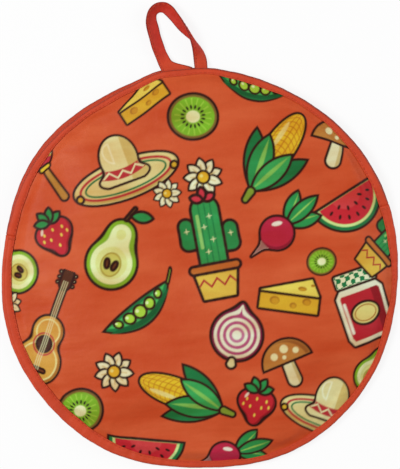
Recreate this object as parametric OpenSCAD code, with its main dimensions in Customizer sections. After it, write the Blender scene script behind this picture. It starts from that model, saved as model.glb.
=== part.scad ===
// Round padded cloth pouch that keeps flat breads warm.
// Two quilt-like panels are bound together round the rim. The rim stays open at the mouth,
// where the front lifts, and a loop of folded tape hangs the pouch from a hook.
// It lies on its back: z = 0 is the table, +Y points to the loop,
// and the origin is the middle of the underside.

/* [Pouch] */
// Diameter over the binding
pouch_d = 305; // [254:1:320]
// Height of the space inside, at its middle
space_h = 10; // [8:0.5:16]
// Angle of the rim that the mouth takes
mouth_angle = 150; // [130:1:160]
// Angle at which the front of the mouth stands open at rest
mouth_gape = 2.6; // [2.4:0.1:4]
// How far the mouth's front edge stands back from its back edge
mouth_setback = 1.5; // [1:0.1:3]

/* [Cloth] */
// Thickness of the printed cover
cover_t = 0.5; // [0.3:0.05:0.8]
// Thickness of the batting
batting_t = 3.2; // [2.4:0.1:5]
// Thickness of the batting where the binding presses it
pressed_t = 1.2; // [0.8:0.1:1.6]
// Thickness of the lining
lining_t = 0.4; // [0.3:0.05:0.6]
// Width over which the batting thins towards the binding
press_w = 7; // [5:0.5:12]

/* [Binding] */
// Width of the binding on each face
binding_w = 8; // [6:0.5:10]
// Thickness of the folded binding
binding_t = 0.8; // [0.6:0.05:1]
// Inner radius where the binding turns round the edge
turn_r = 0.6; // [0.4:0.05:0.8]

/* [Stitching] */
// Width of the thread
thread_w = 0.7; // [0.5:0.05:0.9]
// Height of the thread above the cloth
thread_h = 0.3; // [0.2:0.05:0.4]
// Distance from the binding's inner edge to its row of stitches
row_inset = 1.6; // [1.2:0.1:2.4]
// Length of a tack
tack_l = 7; // [5:0.5:7]
// Width of a tack
tack_w = 1.8; // [1.2:0.1:2.4]

/* [Hanging loop] */
// Width of the loop's tape
tape_w = 9.6; // [8:0.1:12]
// Thickness of the loop's tape
tape_t = 1.6; // [1.2:0.1:2]
// Distance between the middles of the loop's two feet
feet_w = 26.6; // [24:0.2:30]
// Height of the loop's middle line above its feet
loop_rise = 48; // [42:1:56]
// Length over which the loop comes down from the rim to the table
drop_l = 14; // [10:1:18]
// Length of the tape's ends that are sewn down on the rim
tail_l = 9; // [8:0.5:12]
// Distance from the tape's edge to its row of stitches
edge_inset = 1.4; // [1:0.1:2]

/* [Hidden] */
$fn = 120;

// Clearances
table_gap = 0.1; // stitches on the underside to the table
part_gap = 0.3; // pieces that move past each other
swing_gap = 0.4; // the loop's feet to the rim, when the loop hangs down
twist_gap = 0.1; // the loop's stitches to its tape, whose faces are twisted

// Plan of the pouch
pouch_r = pouch_d / 2;
fold_y = pouch_r * cos(mouth_angle / 2);
seam_tip_r = pouch_r - binding_w;
mouth_r = pouch_r - mouth_setback;
mouth_tip_r = mouth_r - binding_w;
turn_depth = binding_t + turn_r;
seam_end_r = pouch_r - turn_depth;
flap_end_r = mouth_r - turn_depth;

// Heights at the rim, from the table up
rim_z = table_gap + thread_h;
back_rim_z = rim_z + binding_t;
pressed_panel_t = cover_t + pressed_t + lining_t;
seam_z = back_rim_z + pressed_panel_t;
seam_top_z = seam_z + pressed_panel_t + binding_t;
back_edge_top_z = seam_z + binding_t;
front_edge_z = back_edge_top_z + 2 * thread_h + part_gap;
flap_rim_z = front_edge_z + binding_t;
front_edge_top_z = flap_rim_z + pressed_panel_t + binding_t;

// Heights in the middle
panel_t = cover_t + batting_t + lining_t;
arch_z = panel_t + space_h;
crown_z = arch_z + panel_t;

// Curves
crown_power = 4; // how flat the front's crown is in the middle
crown_steps = 16;
turn_steps = 4;

function smooth(t) = let (u = min(max(t, 0), 1)) u * u * (3 - 2 * u);

// 0 where the batting is full, 1 in the binding whose inner edge is at tip_r
function press(r, tip_r) = smooth((r - tip_r + press_w) / press_w);

function batting_at(r, tip_r) = batting_t + (pressed_t - batting_t) * press(r, tip_r);

// Underside of the front's lining: level in the middle, and down to rim_h in the binding
function arch_at(r, tip_r, rim_h) =
    rim_h + (arch_z - rim_h) * (1 - pow(min(r / tip_r, 1), crown_power));

// Radii that lie closer together towards the binding
function stations(tip_r, end_r) =
    concat([for (i = [0 : crown_steps]) tip_r * sin(90 * i / crown_steps)], [end_r]);

function arc_points(x, z, r, from, to) =
    [
        for (i = [0 : turn_steps])
            let (a = from + (to - from) * i / turn_steps)
            [x + r * cos(a), z + r * sin(a)]
    ];

// A round sheet between two height functions of the radius
module sheet(tip_r, end_r, low, high) {
    radii = stations(tip_r, end_r);
    last = len(radii) - 1;
    rotate_extrude()
        polygon(concat(
            [for (r = radii) [r, low(r)]],
            [for (i = [last : -1 : 0]) [radii[i], high(radii[i])]]
        ));
}

// Tape folded round an edge, from low_z to high_z
module edge_tape(outer_r, low_z, high_z) {
    tip_r = outer_r - binding_w;
    bend_r = outer_r - turn_depth;
    rotate_extrude()
        polygon(concat(
            [[tip_r, high_z]],
            arc_points(bend_r, high_z - turn_depth, turn_depth, 90, 0),
            arc_points(bend_r, low_z + turn_depth, turn_depth, 0, -90),
            [[tip_r, low_z], [tip_r, low_z + binding_t]],
            arc_points(bend_r, low_z + turn_depth, turn_r, -90, 0),
            arc_points(bend_r, high_z - turn_depth, turn_r, 0, 90),
            [[tip_r, high_z - binding_t]]
        ));
}

module thread_row(r, z) {
    rotate_extrude()
        translate([r - thread_w / 2, z])
            square([thread_w, thread_h]);
}

module below_fold() {
    intersection() {
        children();
        translate([-pouch_d, fold_y - 2 * pouch_d, -pouch_d])
            cube(2 * pouch_d);
    }
}

module above_fold(gap = 0) {
    intersection() {
        children();
        translate([-pouch_d, fold_y + gap, -pouch_d])
            cube(2 * pouch_d);
    }
}

// The part of the front that lifts: cut off at the fold, and open by mouth_gape
// about the fold line on the crown
module flap() {
    translate([0, fold_y, crown_z])
        rotate([mouth_gape, 0, 0])
            translate([0, -fold_y, -crown_z])
                above_fold(part_gap)
                    children();
}

// Back panel, bottom to top: cover, batting, lining
function back_under(r) = back_rim_z * press(r, seam_tip_r);
function back_inner(r) = back_under(r) + cover_t;
function back_quilted(r) = back_inner(r) + batting_at(r, seam_tip_r);
function back_top(r) = back_quilted(r) + lining_t;

module back_cover() {
    color("#C95232")
        sheet(seam_tip_r, seam_end_r, function(r) back_under(r), function(r) back_inner(r));
}

module back_batting() {
    color("#EFEBE0")
        sheet(seam_tip_r, seam_end_r, function(r) back_inner(r), function(r) back_quilted(r));
}

module back_lining() {
    color("#E9DFC8")
        sheet(seam_tip_r, seam_end_r, function(r) back_quilted(r), function(r) back_top(r));
}

// Front panel below the fold, bottom to top: lining, batting, cover
function front_under(r) = arch_at(r, seam_tip_r, seam_z);
function front_inner(r) = front_under(r) + lining_t;
function front_quilted(r) = front_inner(r) + batting_at(r, seam_tip_r);
function front_top(r) = front_quilted(r) + cover_t;

module front_cover() {
    color("#C8522F")
        below_fold()
            sheet(seam_tip_r, seam_end_r, function(r) front_quilted(r), function(r) front_top(r));
}

module front_batting() {
    color("#EFEBE0")
        below_fold()
            sheet(seam_tip_r, seam_end_r, function(r) front_inner(r), function(r) front_quilted(r));
}

module front_lining() {
    color("#E9DFC8")
        below_fold()
            sheet(seam_tip_r, seam_end_r, function(r) front_under(r), function(r) front_inner(r));
}

// Front panel above the fold, which lifts
function flap_under(r) = arch_at(r, mouth_tip_r, flap_rim_z);
function flap_inner(r) = flap_under(r) + lining_t;
function flap_quilted(r) = flap_inner(r) + batting_at(r, mouth_tip_r);
function flap_over(r) = flap_quilted(r) + cover_t;

module flap_cover() {
    color("#CB5631")
        flap()
            sheet(mouth_tip_r, flap_end_r, function(r) flap_quilted(r), function(r) flap_over(r));
}

module flap_batting() {
    color("#F2EEE4")
        flap()
            sheet(mouth_tip_r, flap_end_r, function(r) flap_inner(r), function(r) flap_quilted(r));
}

module flap_lining() {
    color("#ECE3CE")
        flap()
            sheet(mouth_tip_r, flap_end_r, function(r) flap_under(r), function(r) flap_inner(r));
}

// Bindings
module seam_binding() {
    color("#C84B30")
        below_fold()
            edge_tape(pouch_r, rim_z, seam_top_z);
}

module back_mouth_binding() {
    color("#BF452E")
        above_fold()
            edge_tape(pouch_r, rim_z, back_edge_top_z);
}

module front_mouth_binding() {
    color("#CC4F33")
        flap()
            edge_tape(mouth_r, front_edge_z, front_edge_top_z);
}

// Where the tacks at the two ends of the mouth lie, across the seam binding and just below the fold
module mouth_ends() {
    tack_a = asin((fold_y - part_gap - tack_w / 2) / seam_end_r);
    for (side = [0, 1])
        mirror([side, 0, 0])
            rotate([0, 0, tack_a])
                translate([seam_end_r - tack_l, -tack_w / 2, seam_top_z])
                    children();
}

// Stitching
module seam_stitching_front() {
    color("#E07A55")
        difference() {
            below_fold()
                thread_row(seam_tip_r + row_inset, seam_top_z);
            mouth_ends()
                cube([tack_l, tack_w, 2 * thread_h]);
        }
}

module seam_stitching_back() {
    color("#E07A55")
        thread_row(seam_tip_r + row_inset, rim_z - thread_h);
}

module back_mouth_stitching() {
    color("#E07A55")
        difference() {
            above_fold()
                thread_row(seam_tip_r + row_inset, back_edge_top_z);
            both_feet()
                tail_block(part_gap);
        }
}

module front_mouth_stitching() {
    color("#E07A55")
        flap() {
            thread_row(mouth_tip_r + row_inset, front_edge_top_z);
            thread_row(mouth_tip_r + row_inset, front_edge_z - thread_h);
        }
}

// Tacks across the seam binding, just below the two ends of the mouth
module mouth_bartacks() {
    color("#D9683F")
        mouth_ends()
            cube([tack_l, tack_w, 2 * thread_h]);
}

// Hanging loop
foot_z = back_edge_top_z + tape_t / 2;
foot_y = pouch_r + tape_t / 2 + swing_gap;
tail_end_y = foot_y - tape_t / 2 - part_gap;
lie_gap = table_gap + thread_h + twist_gap;

// The loop's middle line from the left foot to the right one: sideways, in halves of feet_w;
// up, in shares of loop_rise; and how far the tape is rolled about its own line.
// It lies flat, stands up on edge as it turns over at the top, and comes down with its other face up.
loop_knots = [
    [-1.00, 0.00, 0],
    [-1.08, 0.17, 0],
    [-1.36, 0.40, 0],
    [-1.56, 0.66, 6],
    [-1.62, 0.87, 26],
    [-1.33, 1.00, 50],
    [-0.75, 0.96, 50],
    [-0.17, 0.78, 48],
    [0.38, 0.55, 88],
    [0.75, 0.355, 135],
    [0.95, 0.165, 168],
    [1.00, 0.00, 180]
];
knot_steps = 6;
foot_lead = [0, 0.17, 0]; // the loop leaves both feet straight away from the rim

function spline(a, b, c, d, t) =
    0.5 * (2 * b + (c - a) * t + (2 * a - 5 * b + 4 * c - d) * t * t + (3 * b - a - 3 * c + d) * t * t * t);

knots = concat([loop_knots[0] - foot_lead], loop_knots, [loop_knots[len(loop_knots) - 1] - foot_lead]);
loop_rings = (len(loop_knots) - 1) * knot_steps;

function loop_station(i) =
    let (k = min(floor(i / knot_steps), len(loop_knots) - 2), t = i / knot_steps - k)
    spline(knots[k], knots[k + 1], knots[k + 2], knots[k + 3], t);

// Height at which a tape that is rolled by roll lies on the table
function lie_z(roll) = lie_gap + tape_w / 2 * abs(sin(roll)) + tape_t / 2 * abs(cos(roll));

function loop_point(i) =
    let (s = loop_station(i), up = s[1] * loop_rise)
    [s[0] * feet_w / 2, foot_y + up, foot_z + (lie_z(s[2]) - foot_z) * smooth(up / drop_l)];

loop_line = [for (i = [0 : loop_rings]) loop_point(i)];

function unit(v) = v / norm(v);

function heading(i) =
    i == 0 ? [0, 1, 0] : i == loop_rings ? [0, -1, 0] : unit(loop_line[i + 1] - loop_line[i - 1]);

// One ring of the sweep: outline points are [across the tape, away from its face]
function loop_ring(i, outline) =
    let (
        along = heading(i),
        level = unit(cross([0, 0, 1], along)),
        roll = loop_station(i)[2],
        across = level * cos(roll) + cross(along, level) * sin(roll),
        face = cross(along, across)
    )
    [for (p = outline) loop_line[i] + across * p[0] + face * p[1]];

module loop_sweep(outline, first, last) {
    n = len(outline);
    rings = last - first;
    points = [for (i = [first : last]) each loop_ring(i, outline)];
    sides = [
        for (i = [0 : rings - 1], j = [0 : n - 1])
            let (a = i * n + j, b = i * n + (j + 1) % n)
            each [[a, a + n, b + n], [a, b + n, b]]
    ];
    caps = [
        for (j = [1 : n - 2])
            each [[0, j, j + 1], [rings * n, rings * n + j + 1, rings * n + j]]
    ];
    polyhedron(points = points, faces = concat(sides, caps));
}

tape_outline = let (w = tape_w / 2, t = tape_t / 2, c = tape_t / 4) [
    [w, c - t], [w, t - c], [w - c, t], [c - w, t], [-w, t - c], [-w, c - t], [c - w, -t], [w - c, -t]
];

function thread_outline(x, y) = let (w = thread_w / 2, h = thread_h / 2) [
    [x + w, y - h], [x + w, y + h], [x - w, y + h], [x - w, y - h]
];

module both_feet() {
    for (side = [-1, 1])
        translate([side * feet_w / 2, 0, 0])
            children();
}

module tail_block(grow = 0) {
    translate([-tape_w / 2 - grow, pouch_r - tail_l - grow, back_edge_top_z])
        cube([tape_w + 2 * grow, tail_end_y - pouch_r + tail_l + grow, tape_t]);
}

module loop_tails() {
    color("#B8402F")
        both_feet()
            tail_block();
}

module loop_bartacks() {
    color("#D9683F")
        both_feet()
            translate([-tack_l / 2, pouch_r - binding_w / 2 - tack_w / 2, back_edge_top_z + tape_t])
                cube([tack_l, tack_w, 2 * thread_h]);
}

module hanging_loop() {
    color("#B73A2D") {
        loop_sweep(tape_outline, 0, loop_rings);
        both_feet()
            translate([-tape_w / 2, foot_y, foot_z])
                rotate([0, 90, 0])
                    cylinder(d = tape_t, h = tape_w, $fn = 24);
    }
}

module loop_edge_stitching() {
    color("#D9683F")
        for (face = [-1, 1])
            loop_sweep(
                thread_outline(tape_w / 2 - edge_inset, face * (tape_t / 2 + twist_gap + thread_h / 2)),
                1, loop_rings - 1
            );
}

back_cover();
back_batting();
back_lining();
front_cover();
front_batting();
front_lining();
flap_cover();
flap_batting();
flap_lining();
seam_binding();
back_mouth_binding();
front_mouth_binding();
seam_stitching_front();
seam_stitching_back();
back_mouth_stitching();
front_mouth_stitching();
mouth_bartacks();
loop_tails();
loop_bartacks();
hanging_loop();
loop_edge_stitching();
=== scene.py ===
from math import cos, degrees, radians, sin

import bmesh
import bpy
import numpy as np
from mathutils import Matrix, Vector


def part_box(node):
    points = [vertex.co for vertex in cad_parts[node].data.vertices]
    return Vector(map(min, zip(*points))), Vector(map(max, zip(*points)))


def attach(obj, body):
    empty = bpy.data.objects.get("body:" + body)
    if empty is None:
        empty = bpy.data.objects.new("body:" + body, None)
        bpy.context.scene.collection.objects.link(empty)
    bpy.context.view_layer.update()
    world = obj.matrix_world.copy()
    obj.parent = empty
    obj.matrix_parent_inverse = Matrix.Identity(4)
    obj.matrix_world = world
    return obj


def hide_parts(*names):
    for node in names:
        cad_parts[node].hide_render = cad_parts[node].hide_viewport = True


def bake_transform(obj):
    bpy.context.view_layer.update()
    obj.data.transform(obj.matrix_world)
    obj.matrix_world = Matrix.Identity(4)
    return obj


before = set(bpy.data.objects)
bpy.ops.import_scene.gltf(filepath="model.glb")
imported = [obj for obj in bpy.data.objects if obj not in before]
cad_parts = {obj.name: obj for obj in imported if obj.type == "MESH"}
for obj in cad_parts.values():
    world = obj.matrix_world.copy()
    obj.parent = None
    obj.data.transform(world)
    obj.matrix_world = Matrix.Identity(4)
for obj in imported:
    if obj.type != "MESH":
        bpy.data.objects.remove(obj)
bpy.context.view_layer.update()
scene = bpy.context.scene

MM = 0.001
WHITE = (1, 1, 1, 1)

# Sizes in mm. What a piece of the frame has is taken from that piece.
SEAM_LOW, SEAM_HIGH = ([v / MM for v in corner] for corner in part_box("seam_binding"))
POUCH_R = SEAM_HIGH[0]
FOLD_Y = SEAM_HIGH[1]
CROWN_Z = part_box("front_cover")[1][2] / MM
TAPE_T = 0.8
TAPE_W = 8.0
NOSE = 2.2  # how far the tape's rounded edge reaches past the cloth
COVER_T, LINING_T = 0.5, 0.4
BATTING_T, PRESSED_T, PRESS_W = 3.2, 1.2, 7.0
PUCKER_H, PUCKER_R, PUCKER_RUN = 0.24, 90, 40  # gathers: height, where they start, how soon they are full
RIM_T = COVER_T + PRESSED_T + LINING_T
PANEL_T = COVER_T + BATTING_T + LINING_T
LAYER_GAP = 0.03
BACK_RIM_Z = SEAM_LOW[2] + TAPE_T
SEAM_Z = BACK_RIM_Z + RIM_T
MOUTH_Z = SEAM_Z + 2.5
ARCH_Z = CROWN_Z - PANEL_T
MOUTH_END = degrees(np.arcsin(FOLD_Y / POUCH_R))
MOUTH_SPAN, SEAM_SPAN = (MOUTH_END, 180 - MOUTH_END), (180 - MOUTH_END, 360 + MOUTH_END)
MOUTH_RISE = sin(radians(2.6))
MOUTH_SETBACK, PEEK = 0.9, 2.9  # how far the front stands back, and how much more where the back shows
FOLD_LEAD, FOLD_RUN = 6.0, 44.0  # the mouth's edges start to part this far before the fold; the second is a length past it
MOUTH_RUN = 24.0  # how far it takes the mouth's two edges to part
RISE_BEND = 12.0  # how softly the front turns upwards at the fold
CUT_R = 151.0

# The rim isn't a true circle: waves round it, as count, height and start angle.
RIM_GROWTH = 0.65
RIM_WAVES = (
    (2, 0.44, -141), (3, 0.92, 110), (4, 1.18, -149), (5, 0.62, -60),
    (6, 0.44, -105), (7, 0.6, 114), (8, 0.25, -88), (9, 0.12, -62),
)
FOOT_PULLS = ((1.9, 97, 10), (0.5, 84, 8))  # the loop pulls the rim out: how far, angle and spread

# How much tape shows round the rim, as angle and width.
TAPE_SHOWN = np.array([
    (2, 6.6), (8, 7.3), (16, 7.5), (26, 7.3), (36, 6.9), (44, 5.9), (58, 5.1), (67, 6.5), (74, 6.3),
    (84, 4.9), (91, 6.3), (101, 7), (117, 7.6), (131, 8), (139, 8.9), (156, 8.3), (169, 7), (181, 7.7),
    (191, 8.4), (206, 8.6), (230, 9), (245, 7.1), (256, 5.9), (264, 5.2), (273, 5.8), (280, 4.5),
    (300, 5.4), (314, 5.5), (326, 4.6), (334, 5), (341, 6.4), (347, 3.8), (355, 4.3),
])

# Cells across a panel: the cover's printed face, its plain face, and the layers inside.
PRINT_CELLS, PLAIN_CELLS, INNER_CELLS = 420, 140, 144
TAPE_STEP, LEG_POINTS, NOSE_POINTS = 0.75, 15, 11

# The front settles as cloth: how much larger it is than its edge, the air in it, and the most it moves.
SLACK, AIR, PUFF_MAX = 0.012, 0.05, 3.4
SETTLE_CELLS, SETTLE_FRAMES, BLUR_ROUNDS = 72, 24, 2
HELD_W = 10  # width of the ring at the tape in which the cloth is held more and more
BACK_SHARE = 0.15  # how much of that movement the back has, upwards only

FLOOR_HALF, FLOOR_CELLS, FLOOR_DROP = 2500, 40, 0.05

# The picture, in metres and degrees.
PICTURE_HEIGHT = 0.3576
PICTURE_TURN = -4.46
PICTURE_MIDDLE = (0.0022, 0.0277, 0.006)
CAMERA_FAR = 2.2
SENSOR = 24.0

TAPE_SHADE = "#CE4521"


# ---- shader nodes ----


class Value:
    """A node's output. Python's own operators on it add Math nodes."""

    def __init__(self, finish, socket):
        self.finish, self.socket = finish, socket

    def math(self, operation, *values):
        return self.finish.node("ShaderNodeMath", {"operation": operation}, dict(enumerate(values)))

    def __add__(self, other):
        return self.math("ADD", self, other)

    def __sub__(self, other):
        return self.math("SUBTRACT", self, other)

    def __mul__(self, other):
        return self.math("MULTIPLY", self, other)

    def __rsub__(self, other):
        return self.math("SUBTRACT", other, self)

    __radd__, __rmul__ = __add__, __mul__


class Finish:
    """The nodes of a material or of the world, and the one method that adds to them."""

    def __init__(self, owner):
        self.owner = owner
        owner.use_nodes = True
        self.tree = owner.node_tree
        self.tree.nodes.clear()

    def node(self, kind, settings=None, sockets=None, out=0):
        node = self.tree.nodes.new(kind)
        for name, value in (settings or {}).items():
            setattr(node, name, value)
        for name, value in (sockets or {}).items():
            if isinstance(value, Value):
                self.tree.links.new(value.socket, node.inputs[name])
            else:
                node.inputs[name].default_value = value
        return Value(self, node.outputs[out]) if len(node.outputs) else node

    def stored(self, name):
        """What the mesh stores under this name."""
        return self.node("ShaderNodeAttribute", {"attribute_name": name}, out="Vector")

    def part(self, place, axis):
        """One of a place's three numbers."""
        return self.node("ShaderNodeSeparateXYZ", {}, {"Vector": place}, out=axis)

    def ramp(self, value, start, end):
        """0 up to the start and 1 from the end on, with a soft step between them."""
        settings = {"interpolation_type": "SMOOTHSTEP"}
        return self.node("ShaderNodeMapRange", settings, {0: value, 1: start, 2: end})

    def noise(self, place, scale, detail=2.0, stretch=(1, 1, 1)):
        at = self.node("ShaderNodeVectorMath", {"operation": "MULTIPLY"}, {0: place, 1: stretch})
        return self.node("ShaderNodeTexNoise", {}, {"Vector": at, "Scale": scale, "Detail": detail})

    def weave(self, place, pitch):
        """Height of a plain weave, from 0 to 1: each thread goes over one and under the next."""
        warp, weft = (self.part(place, axis) * (np.pi / pitch) for axis in (0, 1))
        return warp.math("SINE", warp) * weft.math("SINE", weft) * 0.5 + 0.5

    def mix(self, share, first, second, blend="MIX"):
        settings = {"data_type": "RGBA", "blend_type": blend}
        return self.node("ShaderNodeMix", settings, {"Factor": share, 6: first, 7: second}, out=2)

    def tint(self, colour, factor, dark, light):
        """The colour times a shade between dark and light, which the factor picks."""
        return self.mix(1.0, colour, self.mix(factor, (*dark, 1), (*light, 1)), "MULTIPLY")

    def bump(self, height, depth, strength=1.0, under=None):
        sockets = {"Height": height, "Distance": depth, "Strength": strength}
        if under:
            sockets["Normal"] = under
        return self.node("ShaderNodeBump", {}, sockets)

    def ray(self, kind):
        """1 where the surface is seen by this kind of ray."""
        return self.node("ShaderNodeLightPath", out=f"Is {kind} Ray")

    def close(self, shader, kind="Material"):
        """Ends the nodes with this shader and gives back what they belong to."""
        self.node(f"ShaderNodeOutput{kind}", {}, {"Surface": shader})
        return self.owner

    def surface(self, **sockets):
        named = {name.replace("_", " "): value for name, value in sockets.items()}
        return self.close(self.node("ShaderNodeBsdfPrincipled", {}, named))


def new_finish(name):
    return Finish(bpy.data.materials.new(name))


def linear(shade):
    """A colour written as #RRGGBB, as linear light."""
    part = np.array([int(shade[i : i + 2], 16) for i in (1, 3, 5)]) / 255
    return np.where(part <= 0.04045, part / 12.92, ((part + 0.055) / 1.055) ** 2.4)


def rgba(shade):
    return (*linear(shade), 1)


# ---- camera and light ----


def put(obj):
    """Puts an object in the scene."""
    scene.collection.objects.link(obj)
    return obj


def set_camera():
    """Straight above the pouch, which lies turned a little in the picture."""
    lens = bpy.data.cameras.new("camera")
    lens.sensor_fit, lens.sensor_height = "VERTICAL", SENSOR
    lens.lens = SENSOR * CAMERA_FAR / PICTURE_HEIGHT
    camera = put(bpy.data.objects.new("camera", lens))
    x, y, z = PICTURE_MIDDLE
    camera.location = (x, y, z + CAMERA_FAR)
    camera.rotation_euler = (0, 0, radians(PICTURE_TURN))
    scene.camera = camera


def soft_box(name, place, power, size=1.0, at=(0, 0.02, 0)):
    light = bpy.data.lights.new(name, "AREA")
    light.shape, light.size, light.energy = "SQUARE", size, power
    lamp = put(bpy.data.objects.new(name, light))
    lamp.location = place
    lamp.rotation_euler = (Vector(at) - Vector(place)).to_track_quat("-Z", "Y").to_euler()


def set_lights():
    soft_box("window_light", (-1.6, 0.4, 2.0), 41)
    soft_box("side_light", (1.5, 0.35, 0.9), 9)
    f = Finish(bpy.data.worlds.new("studio"))
    lit, seen = (f.node("ShaderNodeBackground", {}, {"Color": WHITE, "Strength": k}) for k in (0.35, 1.0))
    shown = f.node("ShaderNodeMixShader", {}, {0: f.ray("Camera"), 1: lit, 2: seen})
    scene.world = f.close(shown, "World")
    scene.view_settings.view_transform = "Standard"


# ---- finishes ----


def printed_finish():
    """Cotton with the stored print on it, and painted sheen: its colour is made paler in some broad soft
    patches and deeper in others.
    """
    f = new_finish("printed_cotton")
    place = f.stored("cloth")
    folds_and_sheen = f.noise(place, 0.045, 2.5, (0.45, 1.6, 1)) * 1.7
    folds_and_sheen = folds_and_sheen + f.noise(place, 0.016, 1.5, (0.6, 1.5, 1)) * 1.7 - 1.2
    slubs = f.noise(place, 0.9, 3, (0.35, 1, 1)) * 0.5 + f.noise(place, 0.9, 3, (1, 0.35, 1)) * 0.5
    # painted sheen: the same broad noise that shapes the soft folds makes the colour paler in some
    # patches and deeper in others
    colour = f.tint(f.stored("print"), folds_and_sheen, (0.9, 0.7, 0.52), (1.07, 1.28, 1.45))
    colour = f.tint(colour, slubs, (0.93, 0.92, 0.92), (1.06, 1.06, 1.06))
    soft = f.bump(folds_and_sheen + f.noise(place, 0.14, 2) * 0.5, 0.0008)
    threads = f.bump(f.weave(place, 0.5) + slubs * 0.6, 0.00006, 0.6, under=soft)
    return f.surface(
        Base_Color=colour,
        Roughness=f.noise(place, 0.35, 3) * 0.14 + 0.42,
        Normal=threads,
        Specular_IOR_Level=0.17,
    )


def tape_finish(name, shade, pitch, turned, at_foot=None):
    """Woven tape with painted shade: its colour is darker where it turns away, between two places across
    it.

    at_foot is another shade for the ends.
    """
    f = new_finish(name)
    place = f.stored("cloth")
    base = rgba(shade)
    if at_foot:
        base = f.mix(f.ramp(f.part(place, 2), 4, 24), rgba(at_foot), base)
    slubs = f.noise(place, 1.3, 3, (0.4, 1, 1))
    streaks = f.noise(place, 0.3, 2, (0.13, 1, 1))
    colour = f.tint(base, f.noise(place, 0.05, 2), (0.85, 0.76, 0.7), (1.12, 1.15, 1.15))
    colour = f.tint(colour, streaks, (0.87, 0.8, 0.77), (1.12, 1.15, 1.16))
    side = f.part(place, 1)
    # painted shade: the colour darkens between the two places across the tape given in turned, and is
    # fully dark at the second
    colour = f.tint(colour, f.ramp(side.math("ABSOLUTE", side), *turned), (1, 1, 1), (0.45, 0.4, 0.42))
    colour = f.tint(colour, slubs, (0.94, 0.93, 0.93), (1.05, 1.05, 1.05))
    soft = f.bump(streaks + f.noise(place, 0.35, 2) * 0.4, 0.0005)
    threads = f.bump(f.weave(place, pitch) + slubs * 0.5, 0.00007, 0.7, under=soft)
    return f.surface(
        Base_Color=colour,
        Roughness=f.noise(place, 0.6, 2) * 0.16 + 0.52,
        Normal=threads,
        Specular_IOR_Level=0.3,
    )


def plain_finish(name, shade, rough, pitch=None):
    """Lining cloth, woven at a pitch, or felted batting, which has none."""
    f = new_finish(name)
    place = f.stored("cloth")
    fibres = f.noise(place, 1.1, 4)
    height = f.weave(place, pitch) + fibres if pitch else fibres * 3
    return f.surface(
        Base_Color=f.tint(rgba(shade), fibres, (0.9, 0.9, 0.89), (1.03, 1.03, 1.03)),
        Roughness=f.noise(place, 0.5, 2) * 0.15 + rough,
        Normal=f.bump(height, 0.00008, 0.7),
        Sheen_Weight=0.1,
    )


def thread_finish(shade):
    """Sewing thread, whose plies wind round each bar."""
    f = new_finish("sewing_thread")
    place = f.stored("cloth")
    ply = f.part(place, 0) * 9.0 + f.part(place, 1) * 7.0
    twist = ply.math("SINE", ply)
    return f.surface(
        Base_Color=f.tint(rgba(shade), twist * 0.5 + 0.5, (0.78, 0.76, 0.76), (1.1, 1.1, 1.1)),
        Roughness=twist * 0.06 + 0.5,
        Normal=f.bump(twist, 0.00006, 0.8),
        Specular_IOR_Level=0.25,
    )


def floor_finish():
    """White ground that keeps a faint shadow of the pouch."""
    f = new_finish("studio_floor")
    speckle = f.noise(f.node("ShaderNodeNewGeometry", out="Position"), 30, 2)
    colour = f.tint((0.95, 0.95, 0.95, 1), speckle, (0.99, 0.99, 0.99), (1, 1, 1))
    plain = f.node("ShaderNodeBsdfDiffuse", {}, {"Color": colour})
    white = f.node("ShaderNodeEmission", {}, {"Color": WHITE, "Strength": 1.0})
    seen = f.ray("Camera") + f.ray("Glossy") + f.ray("Transmission")
    return f.close(f.node("ShaderNodeMixShader", {}, {0: seen * 0.86, 1: plain, 2: white}))


# ---- the cloth's heights ----


def smooth(t):
    """A soft step: 0 up to t = 0, and 1 from t = 1 on."""
    t = np.clip(t, 0, 1)
    return t * t * (3 - 2 * t)


def near_angle(turn, middle, spread):
    """1 at the middle angle and 0 past the spread, both in degrees."""
    away = (np.degrees(turn) - middle + 180) % 360 - 180
    return smooth(1 - np.abs(away) / spread)


def rim_wave(turn):
    """How far the rim is from a true circle."""
    waves = sum(high * np.cos(count * turn + radians(start)) for count, high, start in RIM_WAVES)
    rim = RIM_GROWTH + waves
    for far, middle, spread in FOOT_PULLS:
        rim = rim + far * near_angle(turn, middle, spread)
    return rim


def mouth_share(y):
    """0 along the seam and 1 where the two edges of the mouth are fully apart."""
    return smooth((y - FOLD_Y + FOLD_LEAD) / MOUTH_RUN)


def back_edge(turn):
    """Outer radius of the back's bound edge, and of the sewn seam."""
    return POUCH_R + rim_wave(turn) + 0.1 * np.cos(43 * turn + 3 * np.sin(5 * turn))


def front_edge(turn):
    """Outer radius of the front's bound edge. It stands back at the mouth, most at the upper left."""
    back = MOUTH_SETBACK + PEEK * near_angle(turn, 126, 45)
    return back_edge(turn) - back * mouth_share(POUCH_R * np.sin(turn))


def front_tip(turn):
    """Radius of the inner edge of the tape that shows on the front."""
    at = [np.interp(np.degrees(turn) + step, *TAPE_SHOWN.T, period=360) for step in (-3, 0, 3)]
    return back_edge(turn) - sum(at) / 3 - 0.12 * np.sin(29 * turn)


def front_cut(turn):
    """Radius of the front's cut edge, inside the tape."""
    return front_edge(turn) - NOSE


def back_cut(turn):
    """Radius of the back's cut edge."""
    return back_edge(turn) - NOSE


def back_tip(turn):
    """Radius of the inner edge of the tape on all other faces."""
    return back_edge(turn) - TAPE_W - 0.4 * np.sin(4 * turn)


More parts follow.
